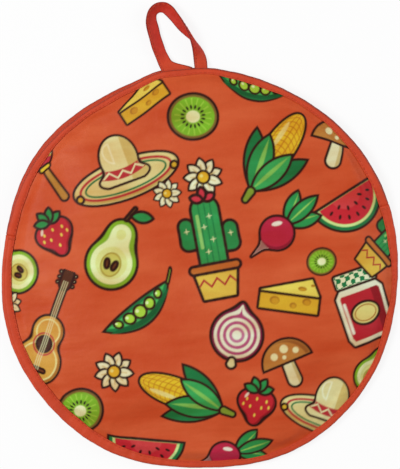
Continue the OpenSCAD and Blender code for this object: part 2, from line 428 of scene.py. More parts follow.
def puckers(turn, inside):
    """Small gathers where the tape holds the cloth. inside is the distance from the tape's inner edge."""
    waves = (
        0.5 * np.cos(97 * turn + 2.5 * np.sin(4 * turn) - 0.05 * inside)
        + 0.4 * np.cos(151 * turn + 3 * np.sin(5 * turn + 1))
        + 0.45 * np.cos(61 * turn + 1.5 * np.sin(3 * turn) + 0.08 * inside)
    )
    strong = 0.5 + 0.25 * np.sin(5 * turn + 0.4)
    strong = strong + 0.7 * near_angle(turn, -112, 24) + 0.5 * near_angle(turn, -2, 26)
    fade = np.where(inside > 0, np.exp(-np.maximum(inside, 0) / 9), 1 - 0.5 * smooth(-inside / TAPE_W))
    return PUCKER_H * strong * waves * fade


def press(r, tip):
    """How much of its loft the batting loses on its way under the tape."""
    return smooth((r - tip + PRESS_W) / PRESS_W)


def batting_at(r, tip):
    """Thickness of the batting."""
    return BATTING_T + (PRESSED_T - BATTING_T) * press(r, tip)


def polar(x, y):
    """Radius and angle of places on the pouch."""
    return np.hypot(x, y), np.arctan2(y, x)


def front_low(x, y):
    """Height of the front's underside."""
    r, turn = polar(x, y)
    tip = front_tip(turn)
    rim = SEAM_Z + (MOUTH_Z - SEAM_Z) * mouth_share(y)
    past = y - FOLD_Y
    rise = MOUTH_RISE * (past + np.sqrt(past * past + RISE_BEND**2)) / 2
    crown = 1 - np.minimum(r / tip, 1) ** 4
    gathers = puckers(turn, tip - r) * smooth((r - PUCKER_R) / PUCKER_RUN)
    return rim + (ARCH_Z - rim) * crown + rise + gathers


def front_top(x, y):
    """Height of the front's printed face."""
    r, turn = polar(x, y)
    tip = front_tip(turn)
    return front_low(x, y) + LINING_T + batting_at(r, tip) + COVER_T


def back_low(x, y):
    """Height of the back's underside, which rises to the tape all round."""
    r, turn = polar(x, y)
    return BACK_RIM_Z * press(r, back_tip(turn))


def back_top(x, y):
    """Height of the back's lining, inside the pouch."""
    r, turn = polar(x, y)
    return back_low(x, y) + COVER_T + batting_at(r, back_tip(turn)) + LINING_T


def over(height, more):
    """The same height, so much higher all over."""
    return lambda x, y: height(x, y) + more


# ---- meshes ----


def store(mesh, label, values):
    """Keeps three numbers for each of the mesh's points."""
    layer = mesh.attributes.new(label, "FLOAT_VECTOR", "POINT")
    layer.data.foreach_set("vector", np.ascontiguousarray(values, np.float32).ravel())


def build(name, points, faces, cloth=None, tidy=False):
    """A mesh object from points in mm, with their flat places on the cloth. tidy turns its faces out."""
    mesh = bpy.data.meshes.new(name)
    mesh.from_pydata((np.asarray(points) * MM).tolist(), [], faces)
    if tidy:
        work = bmesh.new()
        work.from_mesh(mesh)
        bmesh.ops.recalc_face_normals(work, faces=work.faces)
        work.to_mesh(mesh)
        work.free()
    if cloth is not None:
        store(mesh, "cloth", cloth)
    mesh.polygons.foreach_set("use_smooth", [True] * len(mesh.polygons))
    mesh.update()
    return put(bpy.data.objects.new(name, mesh))


def disc_grid(cells):
    """Places on a disc of radius 1, on a grid that is square in the middle and round at the rim."""
    side = np.linspace(-1, 1, cells + 1)
    a, b = np.meshgrid(side, side, indexing="ij")
    return a * np.sqrt(1 - b * b / 2), b * np.sqrt(1 - a * a / 2)


def on_panel(cells, edge):
    """Places of a panel's points in mm, stretched to the cut edge, and their flat places."""
    x, y = disc_grid(cells)
    r, turn = polar(x, y)
    grow = 1 + (edge(turn) / CUT_R - 1) * r**3
    return x * CUT_R * grow, y * CUT_R * grow, np.stack([x * CUT_R, y * CUT_R, 0 * x], -1)


def rim_walk(cells):
    """The grid's outer points, once round, counter-clockwise."""
    n, w = cells, cells + 1
    low, high = np.arange(n), np.arange(n, 0, -1)
    return np.concatenate([low * w, n * w + low, high * w + n, high]).tolist()


def cell_faces(rows, width):
    """Square faces of a grid of so many rows, each of so many points."""
    i, j = np.meshgrid(np.arange(rows - 1), np.arange(width - 1), indexing="ij")
    a = (i * width + j).ravel()
    return np.stack([a, a + width, a + width + 1, a + 1], 1)


def cubic_weights(fine, coarse):
    """Weights that carry a coarse grid's values to a finer one along a smooth curve."""
    at = np.linspace(0, coarse, fine + 1)
    cell = np.minimum(at.astype(int), coarse - 1)
    t = at - cell
    terms = (
        (2 * t - 1 - t * t) * t / 2,
        (2 + t * t * (3 * t - 5)) / 2,
        (1 + t * (4 - 3 * t)) * t / 2,
        t * t * (t - 1) / 2,
    )
    weights = np.zeros((fine + 1, coarse + 1))
    for step, term in enumerate(terms, -1):
        np.add.at(weights, (np.arange(fine + 1), np.clip(cell + step, 0, coarse)), term)
    return weights


def shift_at(cells, shift):
    """The settled cloth's movement, carried to a grid of so many cells."""
    w = cubic_weights(cells, shift.shape[0] - 1)
    return np.stack([w @ shift[..., k] @ w.T for k in range(3)], -1)


def panel_layer(name, edge, low, high, shift, low_cells=INNER_CELLS, top_cells=INNER_CELLS):
    """One layer of a panel, as a closed body. One of its faces may have a finer grid than the other."""
    points, cloth = [], []
    for count, height in ((top_cells, high), (low_cells, low)):
        x, y, flat = on_panel(count, edge)
        place = np.stack([x, y, height(x, y)], -1) + shift_at(count, shift)
        points.append(place.reshape(-1, 3))
        cloth.append(flat.reshape(-1, 3))
    first = (top_cells + 1) ** 2
    top, under = (cell_faces(count + 1, count + 1) for count in (top_cells, low_cells))
    faces = top.tolist() + (first + under[:, [0, 3, 2, 1]]).tolist()
    above, below = rim_walk(top_cells), [first + k for k in rim_walk(low_cells)]
    fine_on_top = top_cells >= low_cells
    fine, coarse = (above, below) if fine_on_top else (below, above)
    ratio = len(fine) // len(coarse)
    for q in range(len(coarse)):
        ends = [coarse[q], coarse[(q + 1) % len(coarse)]]
        run = [fine[(q * ratio + k) % len(fine)] for k in range(ratio, -1, -1)]
        faces.append(ends + run if fine_on_top else (ends + run)[::-1])
    return build(name, np.concatenate(points), faces, np.concatenate(cloth))


def settle_front():
    """How the front moves, because it is a little larger than its bound edge and air fills it."""
    x, y, flat = on_panel(SETTLE_CELLS, front_cut)
    seed = 0.5 * np.sin(y / 9 + 0.8 * np.sin(x / 31)) * np.cos(x / 47 + 0.5)
    seed = seed + 0.3 * np.sin(y / 17 + x / 60 + 2)
    r, turn = polar(x, y)
    free = smooth((front_tip(turn) - r) / HELD_W)
    base = np.stack([x, y, front_top(x, y)], -1)
    start = np.stack([x, y, base[..., 2] + seed * free], -1)
    trial = build("front_trial", start.reshape(-1, 3), cell_faces(*x.shape).tolist())
    held = trial.vertex_groups.new(name="held")
    for index in np.flatnonzero(free.ravel() <= 0):
        held.add([int(index)], 1.0, "REPLACE")
    modifier = trial.modifiers.new("settle", "CLOTH")
    cloth = modifier.settings
    cloth.quality = 6
    cloth.mass = 0.3
    cloth.tension_stiffness = cloth.compression_stiffness = 20
    cloth.shear_stiffness = 8
    cloth.bending_stiffness = 3.0
    cloth.vertex_group_mass = "held"
    cloth.shrink_min = -SLACK
    cloth.use_pressure = True
    cloth.uniform_pressure_force = AIR
    cloth.effector_weights.gravity = 0
    modifier.collision_settings.use_collision = False
    for step in range(1, SETTLE_FRAMES + 1):
        scene.frame_set(step)
    shape = trial.evaluated_get(bpy.context.evaluated_depsgraph_get()).to_mesh()
    settled = np.empty(len(shape.vertices) * 3, np.float32)
    shape.vertices.foreach_get("co", settled)
    scene.frame_set(1)
    bpy.data.objects.remove(trial)
    moved = settled.reshape(base.shape) / MM - base
    far = np.linalg.norm(moved, axis=-1, keepdims=True)
    moved *= PUFF_MAX * np.tanh(far / PUFF_MAX) / np.maximum(far, 1e-6)
    for _ in range(BLUR_ROUNDS):
        for axis in (0, 1):
            before, after = np.roll(moved, 1, axis), np.roll(moved, -1, axis)
            blurred = (before + 2 * moved + after) / 4
            moved[1:-1, 1:-1] = blurred[1:-1, 1:-1]
    return moved * free[..., None]


def band(name, outer, inner, cloth):
    """A band of cloth between two skins of stations by points across, closed at its ends and edges."""
    stations, across = outer.shape[:2]
    size = stations * across
    skin = cell_faces(stations, across)
    faces = skin.tolist() + (skin[:, ::-1] + size).tolist()
    down, along = np.arange(stations - 1) * across, np.arange(across - 1)
    for k, step in ((down, across), (down + across - 1, across), (along, 1), (along + size - across, 1)):
        faces += np.stack([k, k + step, k + step + size, k + size], 1).tolist()
    points = np.concatenate([outer.reshape(-1, 3), inner.reshape(-1, 3)])
    return build(name, points, faces, np.concatenate([cloth.reshape(-1, 3)] * 2), tidy=True)


def rim_turns(first, last, step):
    """Angles along the rim, in radians, from first to last in degrees and so far apart in mm."""
    count = int(radians(last - first) * POUCH_R / step)
    return np.radians(np.linspace(first, last, count + 1))


def bound_edge(name, span, edge, tip, top, low, end, draw=0.0, lift=0.0, drop=0.0, crease=0.0):
    """Bias tape folded round an edge of cloth, with a rounded nose and flattened legs.

    Towards its ends it is drawn in, its upper leg lifted and its lower leg dropped: fully over the first
    length in end, and less and less over the second.
    """
    first, last = span
    turn = rim_turns(first, last, TAPE_STEP)[:, None]
    from_end = np.minimum(turn - radians(first), radians(last) - turn) * POUCH_R
    at_end = 1 - smooth((from_end - end[0]) / end[1])
    outer_r = edge(turn) - draw * at_end
    leg = np.linspace(0, 1, LEG_POINTS)[None, :]
    folded = crease * (0.4 + 0.6 * near_angle(turn, 185, 60))
    pull = 0.92 + 0.08 * np.cos(turn * POUCH_R * 2 * np.pi / STITCH_STEP)

    def legs(inner_r, height, sign, offset):
        """One leg: it swells, is held down along the stitches and has a fold line near the nose."""
        wide = outer_r - NOSE - inner_r
        r = inner_r + wide * leg
        puff = 0.05 * wide * np.sin(np.pi * np.clip((leg - 0.18) / 0.95, 0, 1))
        puff = puff - 0.13 * np.exp(-(((wide * leg - STITCH_IN) / 0.45) ** 2))
        puff = puff - folded * np.exp(-(((wide * (1 - leg) - 0.6) / 0.4) ** 2))
        swell = pull * puff * (1 if sign > 0 else 0.4)
        return r, height(r * np.cos(turn), r * np.sin(turn)) + sign * (offset + swell)

    def section(inset):
        r_top, z_top = legs(tip(turn), top, 1, TAPE_T - inset)
        r_low, z_low = legs(back_tip(turn), low, -1, TAPE_T - inset)
        z_top, z_low = z_top + lift * at_end, z_low - drop * at_end
        swing = np.radians(np.linspace(90, -90, NOSE_POINTS))[None, 1:-1]
        middle, half = (z_top[:, -1:] + z_low[:, -1:]) / 2, (z_top[:, -1:] - z_low[:, -1:]) / 2
        ripple = 0.04 * np.sin(137 * turn + 3 * np.sin(6 * turn)) * np.cos(swing)
        reach = (NOSE - inset) * np.cos(swing) ** 0.8 + ripple
        r_nose = outer_r - NOSE + reach
        z_nose = middle + half * np.sin(swing)
        r = np.concatenate([r_top, r_nose, r_low[:, ::-1]], 1)
        z = np.concatenate([z_top, z_nose, z_low[:, ::-1]], 1)
        return np.stack([r * np.cos(turn), r * np.sin(turn), z], -1)

    outer, inner = section(0), section(TAPE_T * 0.9)
    steps = np.linalg.norm(np.diff(outer, axis=1), axis=-1).mean(0)
    across = np.concatenate([[0], np.cumsum(steps)])
    across = (across - across[len(across) // 2])[None, :] + 0 * turn
    along = turn * POUCH_R + 0 * across
    return band(name, outer, inner, np.stack([along, across, 0 * across], -1))


# ---- stitching ----

STITCH_L, STITCH_STEP, STITCH_IN = 2.7, 3.5, 1.1
THREAD_W, THREAD_H = 0.7, 0.3
THREAD_SUNK, UNDER_SUNK = 0.06, 0.1  # how deep a row lies in the tape, above and on the underside


def stitches(name, rows):
    """Short bars of thread, each from one hole to the next. rows holds (starts, ends, up directions)."""
    ring = np.radians(np.arange(0, 360, 45))
    shares = np.array([0, 0.08, 0.25, 0.5, 0.75, 0.92, 1.0])
    swell = np.array([0.35, 0.72, 0.95, 1.0, 0.95, 0.72, 0.35])
    rise = np.array([-0.55, 0.05, 0.3, 0.38, 0.3, 0.05, -0.55]) * THREAD_H
    rings, around = len(shares), len(ring)
    size = rings * around
    corners = [(k, k - k % around + (k + 1) % around) for k in range(size - around)]
    bar = [[p, p + around, q + around, q] for p, q in corners]
    bar += [list(range(around)), list(range(size - 1, size - around - 1, -1))]
    points, faces, cloth = [], [], []
    for starts, ends, ups in rows:
        for a, b, up in zip(starts, ends, ups):
            run = b - a
            long = np.linalg.norm(run)
            run = run / long
            side = np.cross(run, up)
            side /= np.linalg.norm(side)
            up = np.cross(side, run)
            first = len(points) * size
            middle = a + np.outer(shares * long, run) + np.outer(rise, up)
            across = np.outer(swell, np.cos(ring)) * THREAD_W / 2
            high = np.outer(swell, np.sin(ring)) * THREAD_H * 0.9
            place = middle[:, None] + across[..., None] * side + high[..., None] * up
            points.append(place.reshape(-1, 3))
            lay = np.zeros((rings, around, 3))
            lay[..., 0] = shares[:, None] * long + first * 0.013
            lay[..., 1] = ring * THREAD_W / 2
            cloth.append(lay.reshape(-1, 3))
            faces += [[first + k for k in face] for face in bar]
    return build(name, np.concatenate(points), faces, np.concatenate(cloth), tidy=True)


def row_on_rim(first, last, radius, height, up):
    """A row of stitches along the rim between two angles."""
    middles = rim_turns(first, last, STITCH_STEP)
    half = STITCH_L / 2 / POUCH_R
    ends = []
    for turn in (middles - half, middles + half):
        r = radius(turn)
        x, y = r * np.cos(turn), r * np.sin(turn)
        ends.append(np.stack([x, y, height(x, y)], -1))
    return ends[0], ends[1], np.tile([0.0, 0.0, up], (len(middles), 1))


def tack(place, along, wide, long, count):
    """A bar tack: thread laid to and fro across a level line, so many times."""
    up = np.array([0.0, 0.0, 1.0])
    reach = np.cross(up, along) * wide / 2 + np.array(along) * 0.35
    at = np.linspace(-long / 2, long / 2, count)[:, None] * along + np.array(place)
    return at - reach, at + reach, np.tile(up, (count, 1))


# ---- the print ----

GROUND, INK = "#D0552B", "#340C02"
GREEN, LEAF, STALK = "#1E7B48", "#2F9A57", "#8CA63A"
RED, CREAM, WOOD, TAN = "#C5303A", "#F6E9C4", "#7A3B1D", "#B9702B"
DYE = np.array([0.84, 0.86, 0.66])  # how much light the printed colours give back
EDGE = 0.45  # softness of a printed edge, in mm
LINE = 0.95  # half the width of a printed outline, in mm
REACH = 55  # no motif reaches further from its middle, in mm at size 1


def on_axes(u, v, turn):
    """The places u and v on axes turned by so many degrees."""
    c, s = cos(radians(turn)), sin(radians(turn))
    return c * u + s * v, c * v - s * u


class Stamp:
    """One motif on the cloth, with axes of its own in mm. It gives signed distances to plain shapes."""

    def __init__(self, cloth, x, y, turn, size):
        self.cloth, self.size = cloth, size
        du, dv = cloth["x"] - x, cloth["y"] - y
        self.near = np.flatnonzero(np.hypot(du, dv) < REACH * size)
        self.u, self.v = on_axes(du[self.near] / size, dv[self.near] / size, turn)

    def fill(self, away, shade, strength=1.0):
        share = np.clip(0.5 - away * self.size / (2 * EDGE), 0, 1)[:, None] * strength
        colours = self.cloth["colour"]
        colours[self.near] += (linear(shade) * DYE - colours[self.near]) * share

    def solid(self, away, shade):
        """A shape in one colour with a dark outline."""
        self.fill(away - LINE, INK)
        self.fill(away + LINE, shade)

    def within(self, outline, away, shade, strength=1.0):
        """The part of an outlined shape that lies in another shape."""
        self.fill(np.maximum(outline + LINE, away), shade, strength)

    def stroke(self, away, half, shade):
        self.fill(np.abs(away) - half, shade)

    def teeth(self, wide, high):
        """Height of a zigzag line above its low corners."""
        return np.abs((self.u / wide) % 2 - 1) * high

    def round(self, x, y, r):
        return np.hypot(self.u - x, self.v - y) - r

    def oval(self, x, y, a, b, turn=0.0):
        p, q = on_axes(self.u - x, self.v - y, turn)
        p, q = p / a, q / b
        far = np.hypot(p, q)
        slope = np.maximum(np.hypot(p / a, q / b), 1e-6)
        return far * (far - 1) / slope

    def bar(self, ax, ay, bx, by, ra, rb=None):
        """A bar with round ends, whose radius goes from ra to rb."""
        rb = ra if rb is None else rb
        dx, dy = bx - ax, by - ay
        t = np.clip(((self.u - ax) * dx + (self.v - ay) * dy) / (dx * dx + dy * dy), 0, 1)
        return np.hypot(self.u - ax - t * dx, self.v - ay - t * dy) - (ra + t * (rb - ra))

    def shape(self, *corners):
        """A polygon through the corners."""
        far = np.full(self.u.shape, np.inf)
        inside = np.zeros(self.u.shape, bool)
        for (ax, ay), (bx, by) in zip(corners, corners[1:] + corners[:1]):
            far = np.minimum(far, self.bar(ax, ay, bx, by, 0))
            crosses = (ay > self.v) != (by > self.v)
            at = (self.v - ay) * (bx - ax) / (by - ay if by != ay else 1e-9) + ax
            inside ^= crosses & (self.u < at)
        return np.where(inside, -far, far)

    def leaf(self, x, y, long, wide, turn):
        """A pointed leaf that starts at (x, y) and points along turn."""
        p, q = on_axes(self.u - x, self.v - y, turn)
        r = (long * long / 4 + wide * wide / 4) / wide
        return np.hypot(p - long / 2, np.abs(q) + r - wide / 2) - r


def blend_shapes(a, b, soft):
    """Two shapes as one, with a soft hollow where they meet."""
    h = np.clip(0.5 + 0.5 * (b - a) / soft, 0, 1)
    return b + (a - b) * h - soft * h * (1 - h)


def star(x, y, count, outer, inner):
    """Corners of a star round (x, y)."""
    turns = [radians(90 + 180 * i / count) for i in range(2 * count)]
    return [(x + r * cos(turn), y + r * sin(turn)) for turn, r in zip(turns, (outer, inner) * count)]


def sombrero(s):
    s.solid(s.oval(0, -6, 40, 15), "#EFD9A0")
    s.fill(np.maximum(s.oval(0, -6, 38.5, 13.5), -s.oval(0, -3.5, 38, 12.5)), "#D8B069")
    s.stroke(s.oval(0, -6, 34.5, 11), 0.9, RED)
    s.stroke(s.oval(0, -6, 30.5, 8.6), 0.7, "#1F7A4A")
    crown = blend_shapes(s.oval(0, 10, 14, 18), s.oval(0, -4, 19, 7), 5)
    crown = np.maximum(crown, -(s.v + 9))
    s.solid(crown, "#F3E2B2")
    s.within(crown, 5 - s.u, "#DFC07C")
    bend = s.v - 0.012 * s.u**2
    ribbon = np.abs(bend + 1.5) - 3.6
    s.within(crown, ribbon, RED)
    s.within(crown, np.maximum(np.abs(bend + 3.8 - s.teeth(5, 4.4)) - 0.8, ribbon), CREAM)
    s.stroke(np.maximum(s.oval(-3.5, 15, 6, 8, 20), s.u + 4), 0.6, "#FFF8E2")
    for x in (-36, 36):
        s.solid(s.round(x, -9, 2.6), "#E8B431")


def corn(s):
    for turn in (118, 62):
        s.solid(s.leaf(0, -32, 46, 15, turn), GREEN)
    cob = s.oval(0, 5, 11.5, 30)
    s.solid(cob, "#F5C92C")
    inside = cob + LINE + 0.2
    bow = s.u / np.sqrt(np.clip(1.02 - ((s.v - 5) / 30) ** 2, 0.05, 1))
    s.fill(np.maximum(np.abs((bow / 4.4 + 0.5) % 1 - 0.5) * 4.4 - 0.42, inside), "#D18A1C")
    s.fill(np.maximum(np.abs(((s.v + 0.06 * bow**2) / 4.2) % 1 - 0.5) * 4.2 - 0.38, inside), "#D18A1C")
    s.fill(np.maximum(s.oval(-4.5, 14, 1.7, 11), inside), "#FFF3B0", 0.75)
    for turn, long, wide, tone in ((105, 44, 17, LEAF), (75, 40, 15, "#3FAE63")):
        s.solid(s.leaf(0, -33, long, wide, turn), tone)
        s.fill(s.leaf(0, -31, long * 0.86, wide * 0.2, turn), "#8CCB66")
    s.solid(s.bar(0, -33, 0, -40, 3.2, 2.4), STALK)


def guitar(s):
    s.solid(s.bar(0, 8, 0, 44, 2.6), WOOD)
    s.solid(s.bar(0, 44, 0, 52, 4.6), "#5A2813")
    for y in (44, 48, 52):
        for x in (-6, 6):
            s.solid(s.round(x, y, 1.1), CREAM)
    body = blend_shapes(s.round(0, -18, 18), s.round(0, 6, 12.5), 7)
    s.solid(body, "#E3A348")
    s.within(body, -blend_shapes(s.round(-3, -16, 18), s.round(-3, 7, 12.5), 7), TAN)
    s.stroke(body + 3.4, 0.55, "#F6E3A6")
    s.solid(s.round(0, -4, 6), "#4A1F10")
    s.stroke(s.round(0, -4, 8.2), 0.6, RED)
    s.solid(s.bar(-6, -24, 6, -24, 1.6), WOOD)
    for x in (-1.6, 0, 1.6):
        s.fill(s.bar(x, -24, x, 46, 0.22), CREAM)


def jam_jar(s):
    right = [(15, -24), (17, -20), (17, 10), (12, 16)]
    body = s.shape((-15, -24), *right, (-12, 16), (-17, 10), (-17, -20)) - 2
    s.solid(body, "#F3E3D2")
    s.fill(np.maximum(body + 3.6, s.v - 11), "#C4202F")
    s.fill(np.maximum(body + 3.6, np.maximum(s.v - 11, 9 - s.u)), "#9A1420")
    lid = s.shape((-14, 18), (14, 18), (14, 25), (-14, 25)) - 2
    s.solid(lid, "#F6EAD0")
    s.within(lid, ((np.floor(s.u / 3.5) + np.floor(s.v / 3.5)) % 2) * 4 - 2, "#1F7A4A")
    s.solid(s.oval(0, -5, 11, 8), "#F1D98C")
    s.stroke(s.oval(0, -5, 8.4, 5.6), 0.45, TAN)
    s.fill(s.bar(-13.6, 5, -13.6, -16, 1.1), "#FFF6EC", 0.8)


def cactus(s):
    for ax, ay, bx, by in ((-13, 4, -13, 14), (13, 0, 13, 9)):
        s.solid(blend_shapes(s.bar(ax, ay, bx, by, 4.6), s.bar(ax, ay, 0, ay - 3, 3.8), 2), "#2C8F50")
    s.solid(s.bar(0, -12, 0, 22, 8.6), "#35A05A")
    for x in (-3.6, 0, 3.6):
        s.fill(np.maximum(np.abs(s.u - x) - 0.35, s.bar(0, -12, 0, 22, 6)), GREEN)
    s.fill(s.bar(-5.2, 0, -5.2, 19, 1), "#A9DC82", 0.8)
    for x, y in ((-2, 12), (2, 4), (-2, -3), (2, 18), (-13, 11), (13, 6)):
        s.fill(s.shape(*star(x, y, 4, 1.7, 0.5)), "#F7F1C9")
    for turn in (20, 90, 160):
        s.solid(s.leaf(0, 28, 8, 5, turn), "#D8344A")
    pot = s.shape((-13, -13), (13, -13), (9.5, -31), (-9.5, -31)) - 1
    s.solid(pot, "#E9B64A")
    s.within(pot, np.abs(s.v + 24 - s.teeth(4, 4.6)) - 0.9, "#B7312C")
    s.solid(s.bar(-13, -13, 13, -13, 2.6), "#D0712F")


def maraca(s):
    s.solid(s.bar(0, -8, 0, -36, 2.6, 3.4), "#C98B3C")
    ball = s.oval(0, 9, 14, 17)
    s.solid(ball, "#C8283B")
    for y, tone, half in ((3, "#F2C93B", 3.4), (14, "#2C8F50", 3.0)):
        bend = s.v - y + 0.02 * s.u**2
        s.within(ball, np.abs(bend) - half, tone)
        s.within(ball, np.abs(bend + 1.8 - s.teeth(3.4, 3.6)) - 0.75, "#FBF0CF")
    s.within(ball, 7 - s.u, "#7F1020", 0.35)
    s.fill(s.oval(-6.5, 15, 1.6, 5, -18), "#FFF6EC", 0.85)
    s.solid(s.bar(-3, -8, 3, -8, 2.2), "#F2C93B")


def pear(s):
    skin = blend_shapes(s.round(0, -8, 16.5), s.round(0, 11, 9.5), 9)
    s.solid(skin, "#8DB428")
    s.fill(skin + 3.2, "#F4F0BE")
    s.fill(skin + 6.4, "#EAE39A")
    core = s.oval(0, -9, 6.2, 7.4)
    s.fill(core, "#D9C868")
    s.stroke(core, 0.5, "#B89A3E")
    for x, turn in ((-2.5, 12), (2.5, -12)):
        s.solid(s.oval(x, -9, 1.5, 3.0, turn), "#6B3415")
    s.solid(s.bar(0, 21, 3, 29, 1.1), "#6B4A1F")
    s.solid(s.leaf(2, 24, 14, 7, 12), LEAF)


def melon(s):
    s.solid(np.maximum(s.round(0, 8, 29), s.v - 8), GREEN)
    for r, tone, strength in ((25.6, "#D9EDA2", 1), (23.6, "#D6273A", 1), (12, "#E4505A", 0.6)):
        s.fill(np.maximum(s.round(0, 8, r), s.v - 6.6), tone, strength)
    for r, turns in ((18.5, range(205, 350, 22)), (11.5, range(216, 340, 36))):
        for turn in turns:
            x, y = r * cos(radians(turn)), 8 + r * sin(radians(turn))
            s.fill(s.oval(x, y, 1.0, 1.9, turn + 90), "#2A0F0A")


def onion(s):
    skin = blend_shapes(s.round(0, 0, 18), s.oval(0, 17, 3, 6), 7)
    s.solid(skin, "#8E1F4B")
    white = "#F7EDE3"
    for k, tone in enumerate(("#F4E6DA", "#B8467A", white, "#C2578A", white, "#CE76A0", white)):
        s.fill(skin + 2.2 + 2.1 * k, tone)
    s.solid(s.bar(0, -18, 0, -20, 2.6, 3.4), "#EAD9B0")


def kiwi(s):
    body = s.oval(0, 0, 18, 16.5)
    s.solid(body, "#8A6430")
    s.fill(body + 2.5, "#86B82A")
    turn = np.degrees(np.arctan2(s.v, s.u))
    far = np.hypot(s.u, s.v)
    rays = np.abs((turn / 20) % 1 - 0.5) * far * 0.35 - far * 0.03
    s.fill(np.maximum(rays, np.maximum(far - 13.2, 4 - far)), "#B9DC53", 0.8)
    s.fill(s.oval(0, 0, 5, 4.4), "#F6F3CB")
    for k in range(16):
        a = radians(22.5 * k + 6)
        s.fill(s.oval(7.6 * cos(a), 7 * sin(a), 1.5, 0.75, degrees(a)), "#24160A")


def radish(s):
    for turn, long in ((118, 26), (62, 26), (90, 31)):
        s.solid(s.leaf(0, 9, long, 11, turn), LEAF)
        s.fill(s.leaf(0, 11, long * 0.8, 1.2, turn), "#A6D66B")
    root = blend_shapes(s.round(0, 0, 12.5), s.bar(0, -10, 0, -25, 3.4, 0.5), 5)
    s.solid(root, "#C7244A")
    s.within(root, s.v + 12, "#F7E4DE")
    s.within(root, -s.round(-2.6, 1.4, 12.6), "#8D1231", 0.8)
    s.fill(s.oval(-5, 4.5, 1.6, 3.8, -30), "#FFF1EE", 0.9)


def mushroom(s):
    stem = s.bar(0, -15, 0, 0, 5.6, 4.8)
    s.solid(stem, "#F4E8CC")
    s.within(stem, 2.2 - s.u, "#D9C08D")
    cap = np.maximum(s.oval(0, -2, 19, 18), -s.v - 1)
    s.solid(cap - 0.6, "#C9803D")
    s.within(cap, -s.oval(-3, -4, 18.5, 18.5), "#9A5523", 0.8)
    for x, y, r in ((-8, 6, 2.7), (1, 9, 3.1), (9, 5, 2.3), (-1, 3, 1.5)):
        s.fill(s.round(x, y, r), "#F8E9C2")


def pea_pod(s):
    s.v = s.v - 0.007 * s.u**2  # the whole pod is bent
    s.solid(s.leaf(-31, 0, 62, 19, 0), GREEN)
    s.fill(s.leaf(-28, -3.4, 56, 8, 0), "#166238")
    s.fill(s.leaf(-27, 1.4, 54, 10, 0), "#4DB866")
    for k, r in enumerate((3.0, 4.2, 4.9, 4.2, 3.0)):
        x = 9.4 * (k - 2)
        s.solid(s.round(x, 1.6, r), "#B4DC49")
        s.fill(s.round(x - 0.3 * r, 1.6 + 0.35 * r, 0.26 * r), "#F3FBCB")
    s.solid(s.bar(30, 0, 37, 2.5, 1.3), STALK)


def strawberry(s):
    body = blend_shapes(s.bar(-5, 3, 5, 3, 8.6), s.round(0, -11, 3.4), 14)
    s.solid(body, "#CC2233")
    s.within(body, -blend_shapes(s.bar(-7, 4, 3, 4, 8.6), s.round(-2, -10, 3.4), 14), "#96121F")
    for x, y in ((-7, 4), (0, 5), (7, 4), (-4, -1), (4, -1), (0, -7), (-9, 0), (9, 0)):
        s.fill(s.oval(x, y, 0.7, 1.2), "#F7D65A")
    for turn in (20, 65, 115, 160):
        s.solid(s.leaf(0, 10, 11, 6, turn), LEAF)
    s.fill(s.oval(-7.6, 6.6, 0.9, 2.2, -30), "#FFEDEA", 0.8)


def cheese(s):
    s.solid(s.shape((-20, -10), (20, -10), (20, 2), (-20, 2)) - 1, "#E9B02E")
    s.solid(s.shape((-20, 2), (20, 2), (14, 13)) - 1, "#F7D763")
    holes = (-10, -4, 3.4, 2.8), (3, -6, 2.4, 2), (12, -2.5, 3, 2.4), (8, 6, 3, 1.5), (15, 9, 1.4, 0.9)
    for x, y, a, b in holes:
        s.fill(s.oval(x, y, a, b), "#B9781B")
        s.fill(s.oval(x + 0.4, y - 0.5, a - 0.9, b - 0.7), "#D99722")


def daisy(s):
    for k in range(9):
        s.solid(s.leaf(0, 0, 15.5, 8, 40 * k + 10), "#FBF1DA")
    for k in range(9):
        x, y = cos(radians(40 * k + 10)), sin(radians(40 * k + 10))
        s.fill(s.bar(5 * x, 5 * y, 10 * x, 10 * y, 0.35), "#E2BE84")
    s.solid(s.round(0, 0, 5), "#F0B429")
    s.fill(s.round(-1.2, 1.3, 1.3), "#FBE38E")


# Each motif's place on the front in mm, its turn in degrees and its size.
LAYOUT = (
    (sombrero, -52, 80, 16, 1.05),
    (corn, 64, 84, -38, 1.05),
    (kiwi, 4, 116, 0, 1.05),
    (daisy, 8, 70, 8, 0.95),
    (strawberry, -107, 35, 24, 1.1),
    (maraca, -117, 95, 32, 1.0),
    (melon, 117, 43, 28, 1.0),
    (mushroom, 112, 90, -20, 1.05),
    (pear, -62, 20, -24, 1.2),
    (cactus, 10, 18, 6, 1.25),
    (radish, 60, 24, -52, 1.05),
    (guitar, -120, -42, -24, 1.0),
    (cheese, 66, -24, -12, 1.1),
    (jam_jar, 122, -36, 14, 1.05),
    (pea_pod, -46, -28, 34, 1.0),
    (onion, 24, -50, -16, 1.1),
    (daisy, -70, -70, 20, 0.95),
    (corn, -20, -92, 64, 1.0),
    (mushroom, 60, -72, 18, 1.0),
    (sombrero, 88, -112, -24, 0.9),
    (kiwi, -98, -98, 30, 1.0),
    (strawberry, 34, -104, -14, 1.05),
    (melon, -52, -132, -12, 1.0),
    (radish, 8, -143, -72, 0.95),
    (pear, -146, 14, 62, 1.0),
    (pea_pod, 52, 134, -14, 0.9),
    (cactus, 147, 12, -50, 0.95),
    (cheese, -34, 134, 28, 0.95),
    (pear, 128, -84, -40, 0.85),
    (daisy, -20, 60, 30, 0.7),
    (kiwi, 92, 0, 10, 0.62),
    (daisy, -148, -14, 0, 0.7),
)
BACK_LAYOUT = [(motif, -x, y, -turn, size) for motif, x, y, turn, size in LAYOUT]


